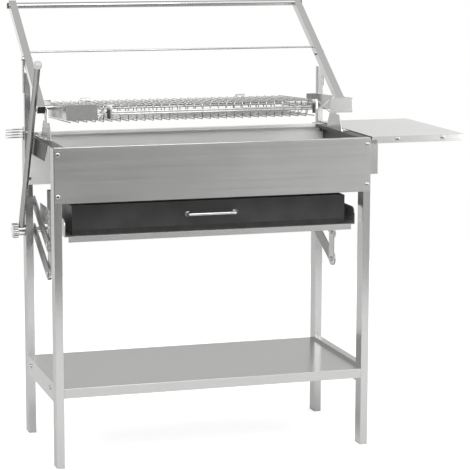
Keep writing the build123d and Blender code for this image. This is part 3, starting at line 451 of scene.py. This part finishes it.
# %% Measure solids and grow a mesh
def solids_of(name, turn=Matrix.Identity(4)):
    """The box of each separate solid of a node, after a turn."""
    shape = merged_copy(name)
    shape.transform(turn)
    left = set(shape.verts)
    boxes = []
    while left:
        island = {left.pop()}
        edge_of_island = set(island)
        while edge_of_island:
            edge_of_island = {e.other_vert(v) for v in edge_of_island for e in v.link_edges} - island
            island |= edge_of_island
        left -= island
        boxes.append((Vector([min(v.co[k] for v in island) for k in range(3)]),
                      Vector([max(v.co[k] for v in island) for k in range(3)])))
    shape.free()
    return sorted(boxes, key=lambda pair: tuple(pair[0]))


def grown(name, mesh, tree, values):
    """The mesh that a tree makes from a starting mesh, with no modifier left."""
    piece = bpy.data.objects.new(name, mesh)
    bpy.context.scene.collection.objects.link(piece)
    modifier = piece.modifiers.new("make", "NODES")
    modifier.node_group = tree
    for socket, value in values.items():
        modifier[socket] = value
    result = to_mesh(piece)
    piece.modifiers.clear()
    piece.data = result
    return piece


print("panel screws", len(solids_of("panel_screws")))


# %% Set the screws on the solids' places
SHANK_PART = 0.45
HEAD_PER_RADIUS = 0.9
HEAD_PER_LENGTH = 0.8


def set_screws(name, along, way=0):
    """Replace a node of screws. They face one way along an axis, or out from the middle where way is 0."""
    axis = "XYZ".index(along)
    across = [k for k in range(3) if k != axis]
    places, facings, heads, shanks = [], [], [], []
    for low, high in solids_of(name):
        middle = (low + high) / 2
        out = Vector((0, 0, 0))
        out[axis] = way or math.copysign(1, middle[axis])
        radius = max(high[k] - low[k] for k in across) / 2
        length = high[axis] - low[axis]
        places.append(middle + out * length / 2)
        facings.append(out)
        heads.append((radius, radius, min(radius * HEAD_PER_RADIUS, length * HEAD_PER_LENGTH)))
        shanks.append((radius * SHANK_PART, radius * SHANK_PART, length))
    mesh = bpy.data.meshes.new(name + "_places")
    mesh.from_pydata(places, [], [])
    for label, values in (("facing", facings), ("head_scale", heads), ("shank_scale", shanks)):
        layer = mesh.attributes.new(label, "FLOAT_VECTOR", "POINT")
        for element, value in zip(layer.data, values):
            element.vector = value
    piece = grown(name + "_socket", mesh, screw_tree,
                  {screw_inputs["Head"]: socket_head, screw_inputs["Material"]: polished})
    settle(piece, [name])
    return len(places)


count = set_screws("panel_screws", "Y", -1) + set_screws("shelf_screws", "X") + set_screws("cradle_screws", "Z", 1)
count += set_screws("side_shelf_screws", "Y") + set_screws("hanger_bolts", "X")
bpy.data.objects.remove(socket_head)
print("screws", count)

# %% [markdown]
# ## The wire basket
# The basket and its lid are the same tray of welded round wire, one turned over on the other. Close cross wires bend
# down from one rim, run across and bend up to the other, and a few long wires lie on them. A Wireframe modifier on a
# grid would be quicker, but its wires would be square and lie in one plane. Here a path is drawn for each kind of
# wire, a tree sweeps a circle along it, and a second tree repeats it across the tray.

# %% Tree for round wires
THIN_SIDES = 8
RIM_SIDES = 12


def swept(tree, paths, sides):
    """Round wire along the edges of a mesh, as thick as its points say."""
    lines = node(tree, "GeometryNodeMeshToCurve", {"Mesh": paths})
    circle = node(tree, "GeometryNodeCurvePrimitiveCircle", {"Resolution": sides, "Radius": 0.5})
    return node(tree, "GeometryNodeCurveToMesh", {
        "Curve": lines.outputs[0], "Profile Curve": circle.outputs[0],
        "Scale": attribute(tree, "thickness", "FLOAT"), "Fill Caps": True}).outputs[0]


wire_tree, given, wire_inputs = named_group("round_wires", {"Sides": "NodeSocketInt",
                                                            "Material": "NodeSocketMaterial"})
finish_group(wire_tree, swept(wire_tree, given[0], given["Sides"]), given["Material"])
print("wire tree nodes", len(wire_tree.nodes))

# %% Tree for repeated wires
copies_tree, given, copies_inputs = named_group("repeated_wires", {
    "Count": "NodeSocketInt", "Step": "NodeSocketVector", "Material": "NodeSocketMaterial"})
places = node(copies_tree, "GeometryNodeMeshLine", {"Count": given["Count"], "Offset": given["Step"]})
copies = node(copies_tree, "GeometryNodeInstanceOnPoints",
              {"Points": places.outputs[0], "Instance": swept(copies_tree, given[0], THIN_SIDES)})
finish_group(copies_tree, copies.outputs[0], given["Material"])
print("repeat tree nodes", len(copies_tree.nodes))

# %% [markdown]
# ## Drawing a wire
# A wire is drawn as a chain of points, with its thickness kept at each point. Where it turns it follows an arc, as
# wire does over a bending pin. A curve object could hold the same path, but plain points and edges are easier to
# check and go straight into the trees.


# %% Paths of wire
WIRE = 3 * MM
RIM = 5 * MM
BEND = 5 * MM
BEND_STEPS = 3


def path_mesh(name, paths):
    """Edges only: each path is a list of points and the wire's diameter, kept as an attribute."""
    points, edges, sizes = [], [], []
    for path, diameter in paths:
        first = len(points)
        points += [tuple(point) for point in path]
        edges += [(first + k, first + k + 1) for k in range(len(path) - 1)]
        sizes += [diameter] * len(path)
    mesh = bpy.data.meshes.new(name)
    mesh.from_pydata(points, edges, [])
    layer = mesh.attributes.new("thickness", "FLOAT", "POINT")
    for element, size in zip(layer.data, sizes):
        element.value = size
    return mesh


def staple(start, corner_a, corner_b, end):
    """A wire bent twice: straight runs with an arc at each corner."""
    points = [start]
    for before, corner, after in ((start, corner_a, corner_b), (corner_a, corner_b, end)):
        inward = (before - corner).normalized() * BEND
        outward = (after - corner).normalized() * BEND
        centre = corner + inward + outward
        for k in range(BEND_STEPS + 1):
            turn = math.pi / 2 * k / BEND_STEPS
            points.append(centre - outward * math.cos(turn) - inward * math.sin(turn))
    return points + [end]


print("points in a bent wire", 2 * (BEND_STEPS + 1) + 2)

# %% [markdown]
# ## Small plates and knuckles
# The tray also has clips, and knuckles on tabs for its hinge. Modifiers could make them, but they have so few faces
# that it is less work to make those directly. The tray hangs tipped down at the rear, as the solids do, so each piece
# is made level and the whole is turned about X when it is joined.


# %% Plates and rings
def finished(name, shape):
    """A bmesh as a linked object in bright wire steel."""
    bmesh.ops.recalc_face_normals(shape, faces=shape.faces)
    mesh = bpy.data.meshes.new(name)
    shape.to_mesh(mesh)
    shape.free()
    mesh.materials.append(wire_steel)
    piece = bpy.data.objects.new(name, mesh)
    bpy.context.scene.collection.objects.link(piece)
    return piece


def box_piece(name, low, high, bevel):
    """A small plate with rounded edges."""
    shape = bmesh.new()
    bmesh.ops.create_cube(shape, size=1)
    low, high = Vector(low), Vector(high)
    shape.transform(Matrix.Translation((low + high) / 2) @ Matrix.Diagonal((*(high - low), 1)))
    bmesh.ops.bevel(shape, geom=shape.edges, offset=bevel, segments=2, profile=0.5, affect="EDGES")
    return finished(name, shape)


def ring_piece(name, low_x, high_x, y, z, outer, inner):
    """A short tube along X, for a hinge knuckle."""
    shape = bmesh.new()
    turns = [math.tau * k / ROUND_SIDES for k in range(ROUND_SIDES)]
    loops = []
    for x, radius in ((low_x, inner), (low_x, outer), (high_x, outer), (high_x, inner)):
        loops.append([shape.verts.new((x, y + radius * math.cos(turn), z + radius * math.sin(turn)))
                      for turn in turns])
    for loop, after in zip(loops, loops[1:] + loops[:1]):
        for n in range(ROUND_SIDES):
            following = (n + 1) % ROUND_SIDES
            shape.faces.new((loop[n], loop[following], after[following], after[n]))
    return finished(name, shape)


print("piece helpers", [helper.__name__ for helper in (finished, box_piece, ring_piece)])


# %% Joining level pieces and tipping them
BASKET_TILT = math.radians(2.8)
WIRE_SHARP = math.radians(50)
tipped = Matrix.Rotation(-BASKET_TILT, 4, "X")
level = Matrix.Rotation(BASKET_TILT, 4, "X")


def joined(name, pieces):
    """Several objects as one mesh, with the loose objects removed."""
    shape = bmesh.new()
    for piece in pieces:
        shape.from_mesh(piece.data)
        bpy.data.objects.remove(piece)
    whole = finished(name, shape)
    whole.data.transform(tipped)
    whole.data.shade_smooth()
    whole.data.set_sharp_from_angle(angle=WIRE_SHARP)
    return whole


(floor_low, floor_high), = solids_of("basket_floor", level)
(lid_low, lid_high), = solids_of("lid_grille", level)
print("basket floor", [round(v, 3) for v in floor_high - floor_low])

# %% [markdown]
# ## One tray
# A tray is built from the outside in: its rim and floor heights come from the solids, the wires are spaced evenly
# between its ends, and the last ones stand at the ends themselves. The basket and the lid differ only in which way
# their walls go, so one function makes both.


# %% Wires of one tray
MESH_PITCH = 22 * MM
ROW_SPACING = 50 * MM


def end_walls(walls):
    """The boxes of a tray's two end walls, which are its thin ones."""
    return [(low, high) for low, high in solids_of(walls, level) if high.x - low.x < 2 * RIM]


def repeated(name, corners, count, step):
    """Several copies of one bent wire, each a step from the last."""
    return grown(name, path_mesh(name + "_path", [(staple(*corners), WIRE)]), copies_tree, {
        copies_inputs["Count"]: count, copies_inputs["Step"]: step, copies_inputs["Material"]: wire_steel})


def wire_tray(name, grille, walls, up, rim_x, extra):
    """Grille and walls in one piece. up is 1 where the walls rise from the grille, and -1 where they hang."""
    (low, high), = solids_of(grille, level)
    end_low, end_high = end_walls(walls)[0]
    rim_z = end_high.z - RIM / 2 if up > 0 else end_low.z + RIM / 2
    cross_z = low.z + WIRE / 2 if up > 0 else high.z - WIRE / 2
    long_z = cross_z + up * WIRE
    front, back = low.y + RIM / 2, high.y - RIM / 2
    left, right = low.x + RIM / 2, high.x - RIM / 2
    columns = round((high.x - low.x) / MESH_PITCH)
    step_x = (high.x - low.x - WIRE) / columns
    first_x = low.x + WIRE / 2
    corners = [Vector((first_x + step_x, y, z))
               for y, z in ((front, rim_z), (front, cross_z), (back, cross_z), (back, rim_z))]
    cross = repeated(name + "_cross", corners, columns - 1, (step_x, 0, 0))
    rows = round((high.y - low.y) / ROW_SPACING)
    step_y = (high.y - low.y) / rows
    corners = [Vector((x, low.y + step_y, z))
               for x, z in ((left, rim_z), (left, long_z), (right, long_z), (right, rim_z))]
    long = repeated(name + "_long", corners, rows - 1, (0, step_y, 0))
    edges = [([Vector((x, low.y + WIRE, cross_z)), Vector((x, high.y - WIRE, cross_z))], WIRE)
             for x in (first_x, first_x + step_x * columns)]
    rims = [([Vector((rim_x[0], y, rim_z)), Vector((rim_x[1], y, rim_z))], RIM) for y in (front, back)]
    rims += [([Vector((x, front, rim_z)), Vector((x, back, rim_z))], RIM) for x in (left, right)]
    rim = grown(name + "_rim", path_mesh(name + "_rim_path", rims + edges + extra), wire_tree,
                {wire_inputs["Sides"]: RIM_SIDES, wire_inputs["Material"]: wire_steel})
    return [cross, long, rim]


print("end walls", len(end_walls("basket_walls")), "and", len(end_walls("lid_walls")))

# %% [markdown]
# ## The lid's hinge
# Each hinge pin runs through two knuckles, one welded to the basket's rear wall by a tab and one to the lid's. They
# are made about the joint's own axis, so that the lid turns in them at every pose.


# %% Knuckles
KNUCKLE = 12 * MM
KNUCKLE_OUTER = 4 * MM
KNUCKLE_INNER = 2.1 * MM
TAB_EDGE = 0.5 * MM
GAP = 0.3 * MM
lid_joint = next(joint for joint in record["behaviour"]["joints"] if joint["name"] == "lid_open")
hinge_at = level @ Vector(lid_joint["pos_m"])
pin_middles = [(low.x + high.x) / 2 for low, high in solids_of("lid_hinge_pins", level)]


def knuckles(name, middles, tab_y, tab_z):
    """The hinge knuckles of one tray, each a tube on a tab."""
    pieces = []
    for k, x in enumerate(middles):
        low_x, high_x = x - KNUCKLE / 2, x + KNUCKLE / 2
        pieces.append(ring_piece(f"{name}_knuckle_{k}", low_x, high_x, hinge_at.y, hinge_at.z,
                                 KNUCKLE_OUTER, KNUCKLE_INNER))
        pieces.append(box_piece(f"{name}_tab_{k}", (low_x, tab_y[0], tab_z[0]), (high_x, tab_y[1], tab_z[1]),
                                TAB_EDGE))
    return pieces


print("hinge", [round(v, 4) for v in hinge_at], "pins", len(pin_middles))

# %% [markdown]
# ## Clips and crossed braces
# At the front, each end of the basket is held to its carrier by two crossed wires and a flat clip. They could be
# pieces of their own, but they move with the basket. Straight wires need no bend, so they go in with the rim's wires,
# and the clip is one rounded plate.

# %% Clips and crossed braces
BRACE_LEFT = 24 * MM
BRACE_RIGHT = 35 * MM
BRACE_START = 1.5 * MM
CARRIER_INSET = 3 * MM
CLIP_WIDTH = 14 * MM
CLIP_BEYOND = 2 * MM
CLIP_EDGE = 0.6 * MM
arm_low, arm_high = solids_of("carrier_left", level)[0]
bottom, top = arm_low.z + CARRIER_INSET, arm_high.z - CARRIER_INSET
brace_y = (arm_low.y + floor_low.y) / 2

braces, clips = [], []
carrier_faces = [(-1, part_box("carrier_left")[1].x, BRACE_LEFT), (1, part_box("carrier_right")[0].x, BRACE_RIGHT)]
for side, arm, reach in carrier_faces:
    near = arm - side * (reach + GAP)
    ends = arm - side * BRACE_START, near - side * WIRE
    braces += [([Vector((ends[0], brace_y, start)), Vector((ends[1], brace_y, end))], WIRE)
               for start, end in ((bottom, top), (top, bottom))]
    clip_x = sorted((near, near - side * CLIP_WIDTH))
    clips.append(box_piece(f"clip_{side}", (clip_x[0], arm_low.y, bottom - CLIP_BEYOND),
                           (clip_x[1], floor_low.y, top + CLIP_BEYOND), CLIP_EDGE))
print("braces", len(braces), "clips", len(clips))

# %% [markdown]
# ## The basket and its lid
# The basket hangs by its rim wires, which run on into the carriers. The lid's end at its own walls. The pieces of a
# tray could stay apart, but they move as one, so each tray is joined into one mesh that stands in for the solids.

# %% Both trays
TAB_DEPTH = 4 * MM
TAB_ABOVE_RIM = 1 * MM
carrier_inner = [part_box("carrier_left")[0].x + CARRIER_INSET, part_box("carrier_right")[1].x - CARRIER_INSET]
tray_rim = max(high.z for low, high in end_walls("basket_walls"))
tab_back = floor_high.y + TAB_DEPTH

basket_parts = wire_tray("basket", "basket_floor", "basket_walls", 1, carrier_inner, braces) + clips
basket_parts += knuckles("basket", [x + KNUCKLE / 2 + GAP for x in pin_middles],
                         (floor_high.y, tab_back), (tray_rim - RIM, hinge_at.z))
basket_tray = joined("basket_tray", basket_parts)
settle(basket_tray, ["basket_floor", "basket_walls"])

lid_parts = wire_tray("lid", "lid_grille", "lid_walls", -1, (lid_low.x, lid_high.x), [])
lid_parts += knuckles("lid", [x - KNUCKLE / 2 - GAP for x in pin_middles],
                      (lid_high.y, tab_back), (tray_rim + 2 * GAP + TAB_ABOVE_RIM, hinge_at.z))
lid_tray = joined("lid_tray", lid_parts)
settle(lid_tray, ["lid_grille", "lid_walls"])
print("faces of the basket", len(basket_tray.data.polygons), "and of the lid", len(lid_tray.data.polygons))

# %% [markdown]
# ## Studio
# The roaster stands on a pale floor under soft lamps. The camera looks from the front left, a little above the rim. A
# short lens close by would make the legs splay, so a long lens stands well back.

# %% Camera
LENS = 150.16
SENSOR = 36
STANDS_AT = (-1.4053, -4.9409, 1.3994)
TURN = math.radians(-17.086)
TILT = math.radians(80.637)
ROLL = math.radians(0.136)
camera_data = bpy.data.cameras.new("camera")
camera_data.lens = LENS
camera_data.sensor_width = SENSOR
camera = bpy.data.objects.new("camera", camera_data)
aim = Matrix.Rotation(TURN, 4, "Z") @ Matrix.Rotation(TILT, 4, "X")
camera.matrix_world = Matrix.Translation(STANDS_AT) @ aim @ Matrix.Rotation(ROLL, 4, "Z")
bpy.context.scene.collection.objects.link(camera)
bpy.context.scene.camera = camera
print("camera", [round(v, 3) for v in camera.location])

# %% [markdown]
# ## The room that the steel mirrors
# Steel shows what stands around it. An image of a real room could be wrapped round the scene, but a few smooth ramps
# are easier to read and to change. Glossy rays see a room that is bright behind the roaster, most of all low down and
# towards the right, and dark ahead of it, with a window at the front right and a bright ceiling over the front. All
# other rays see plain white: the backdrop for the camera, and an even light for the rest.

# %% Room
MIRROR_TINT = (1, 0.995, 0.985, 1)
WHITE = (1, 1, 1, 1)
AMBIENT = 0.7
BACKDROP = 1.0
world = bpy.data.worlds.new("room")
bpy.context.scene.world = world
world.use_nodes = True
tree = world.node_tree
tree.nodes.clear()
rays = node(tree, "ShaderNodeLightPath").outputs
direction = node(tree, "ShaderNodeTexCoord").outputs["Generated"]
sides = node(tree, "ShaderNodeSeparateXYZ", {0: direction}).outputs


def ramp(axis, start, end, low, high):
    """A smooth change of brightness from low to high, between two points along an axis of the room."""
    return node(tree, "ShaderNodeMapRange", {"Value": sides[axis], "From Min": start, "From Max": end, "To Min": low,
                                             "To Max": high}, interpolation_type="SMOOTHSTEP").outputs[0]


behind = ramp("Y", -0.6, 0.8, 0.12, 1.1)
low_down = ramp("Z", 0.08, 0.22, 1.0, 0.42)
rightwards = calculate(tree, "ADD", ramp("X", -0.4, -0.15, 0.5, 1.0), ramp("X", 0.3, 0.5, 0.0, 0.4))
wall = calculate(tree, "MULTIPLY", calculate(tree, "MULTIPLY", behind, low_down), rightwards)
window = calculate(tree, "MULTIPLY", ramp("Y", -0.4, 0.2, 1.0, 0.0), ramp("X", 0.2, 0.55, 0.0, 0.8))
ceiling = calculate(tree, "MULTIPLY", ramp("Y", -0.4, 0.2, 1.4, 0.1), ramp("Z", 0.05, 0.35, 0.0, 1.0))
brightness = calculate(tree, "ADD", calculate(tree, "ADD", wall, window), ceiling)
mirrored = node(tree, "ShaderNodeBackground", {"Color": MIRROR_TINT, "Strength": brightness})
ambient = node(tree, "ShaderNodeBackground", {"Color": WHITE, "Strength": AMBIENT})
backdrop = node(tree, "ShaderNodeBackground", {"Color": WHITE, "Strength": BACKDROP})
lit = node(tree, "ShaderNodeMixShader", {0: rays["Is Glossy Ray"], 1: ambient.outputs[0], 2: mirrored.outputs[0]})
seen = node(tree, "ShaderNodeMixShader", {0: rays["Is Camera Ray"], 1: lit.outputs[0], 2: backdrop.outputs[0]})
node(tree, "ShaderNodeOutputWorld", {0: seen.outputs[0]})
bpy.context.scene.view_settings.view_transform = "Standard"
print("room nodes", len(tree.nodes))

# %% [markdown]
# ## Lamps and floor
# Point lamps would leave hard shadows and small hot spots on steel, so wide soft ones are used: one large lamp from
# the left does most of the work, and two weak ones open the side and the trough. The floor takes the shadow. It glows
# a little for the camera alone, so that it is pale without more light on the roaster.


# %% Lamps
MIDDLE = Vector((0, 0, 0.6))


def softbox(name, place, power, size):
    """A square area light that looks at the middle of the roaster."""
    data = bpy.data.lights.new(name, "AREA")
    data.energy = power
    data.size = size
    light = bpy.data.objects.new(name, data)
    bpy.context.scene.collection.objects.link(light)
    light.location = place
    light.rotation_euler = (MIDDLE - light.location).to_track_quat("-Z", "Y").to_euler()
    return light


lamps = [softbox("key", (-2.5, -3.0, 3.2), power=55, size=2.0),
         softbox("side", (1.9, -1.9, 1.0), power=8, size=0.9),
         softbox("top", (0.15, -1.3, 2.0), power=8, size=0.8)]
print("lamps", {lamp.name: lamp.data.energy for lamp in lamps})

# %% Floor
FLOOR = 2.4
FLOOR_COLOUR = (0.92, 0.92, 0.92, 1)
FLOOR_ROUGHNESS = 0.9
FLOOR_GLOW = 0.55
floor_mesh = bpy.data.meshes.new("floor")
floor_mesh.from_pydata([(-FLOOR, -FLOOR, 0), (FLOOR, -FLOOR, 0), (FLOOR, FLOOR, 0), (-FLOOR, FLOOR, 0)], [],
                       [(0, 1, 2, 3)])
floor = bpy.data.objects.new("floor", floor_mesh)
bpy.context.scene.collection.objects.link(floor)
white, tree, shader, place = new_material("floor_white")
shader.inputs["Base Color"].default_value = FLOOR_COLOUR
shader.inputs["Roughness"].default_value = FLOOR_ROUGHNESS
rays = node(tree, "ShaderNodeLightPath").outputs
glow = node(tree, "ShaderNodeEmission", {"Color": WHITE, "Strength": FLOOR_GLOW})
none = node(tree, "ShaderNodeEmission", {"Strength": 0.0})
lifted = node(tree, "ShaderNodeMixShader", {0: rays["Is Camera Ray"], 1: none.outputs[0], 2: glow.outputs[0]})
total = node(tree, "ShaderNodeAddShader", {0: shader.outputs[0], 1: lifted.outputs[0]})
tree.links.new(total.outputs[0], tree.nodes["Material Output"].inputs["Surface"])
floor_mesh.materials.append(white)
print("floor", FLOOR * 2, "m wide")
